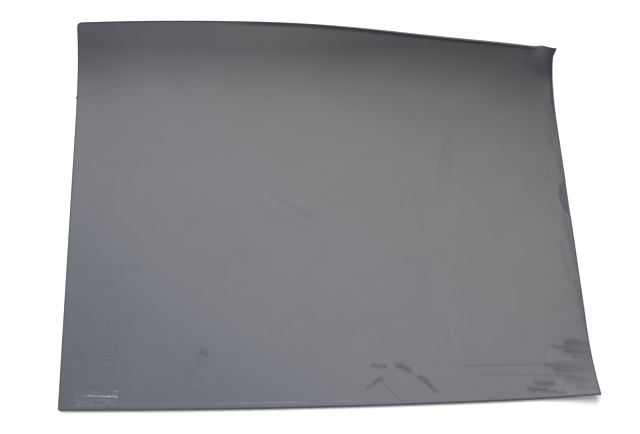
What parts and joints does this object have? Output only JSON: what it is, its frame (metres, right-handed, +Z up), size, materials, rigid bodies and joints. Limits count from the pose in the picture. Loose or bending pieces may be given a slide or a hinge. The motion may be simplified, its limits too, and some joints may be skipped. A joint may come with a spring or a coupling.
{
  "type": "seedling heat mat",
  "caption": "Thin rectangular laminated heating mat for seed trays, its far edge curled up, with a low cord inlet box bonded under the curl.",
  "frame": {"origin": "on the surface the mat lies on, under the centre of the unrolled sheet", "axes": "+X along the width to the right, +Y across the depth towards the curled far edge, +Z up"},
  "size_m": [0.611, 0.4634, 0.0609],
  "materials": {
    "cover_sheet": "matt, cloth-impressed",
    "seal_ply": "matt",
    "clear_film": "satin clear film",
    "foil": "satin foil",
    "carbon_print": "matt carbon print",
    "copper": "bare copper",
    "felt": "needled felt",
    "brass": "bright",
    "box_plastic": "fine matt moulding",
    "gasket_rubber": "soft matt",
    "screw_steel": "plated",
    "ceramic": "unglazed",
    "sleeve": "varnished glass sleeve",
    "live_wire": "brown insulation",
    "neutral_wire": "blue insulation",
    "label": "blank silver label"
  },
  "bodies": {
    "root": {"top_cover": "cover_sheet", "bottom_cover": "cover_sheet", "edge_seal": "seal_ply", "label_patch": "clear_film", "heat_spreader": "foil", "upper_film": "clear_film", "lower_film": "clear_film", "heating_strips": "carbon_print", "bus_bar_left": "copper", "bus_bar_right": "copper", "neutral_ribbon": "copper", "insulation_felt": "felt", "terminal_rivets": "brass", "ring_tags": "brass", "inlet_base": "box_plastic", "inlet_gasket": "gasket_rubber", "inlet_cover": "box_plastic", "cover_screws": "screw_steel", "cord_gland": "gasket_rubber", "cord_clamp": "box_plastic", "clamp_screws": "screw_steel", "terminal_block": "ceramic", "terminal_tubes": "brass", "terminal_screws": "screw_steel", "thermal_fuse": "ceramic", "fuse_sleeve": "sleeve", "live_lead": "live_wire", "live_link": "live_wire", "neutral_lead": "neutral_wire", "rating_label": "label"}
  },
  "joints": []
}
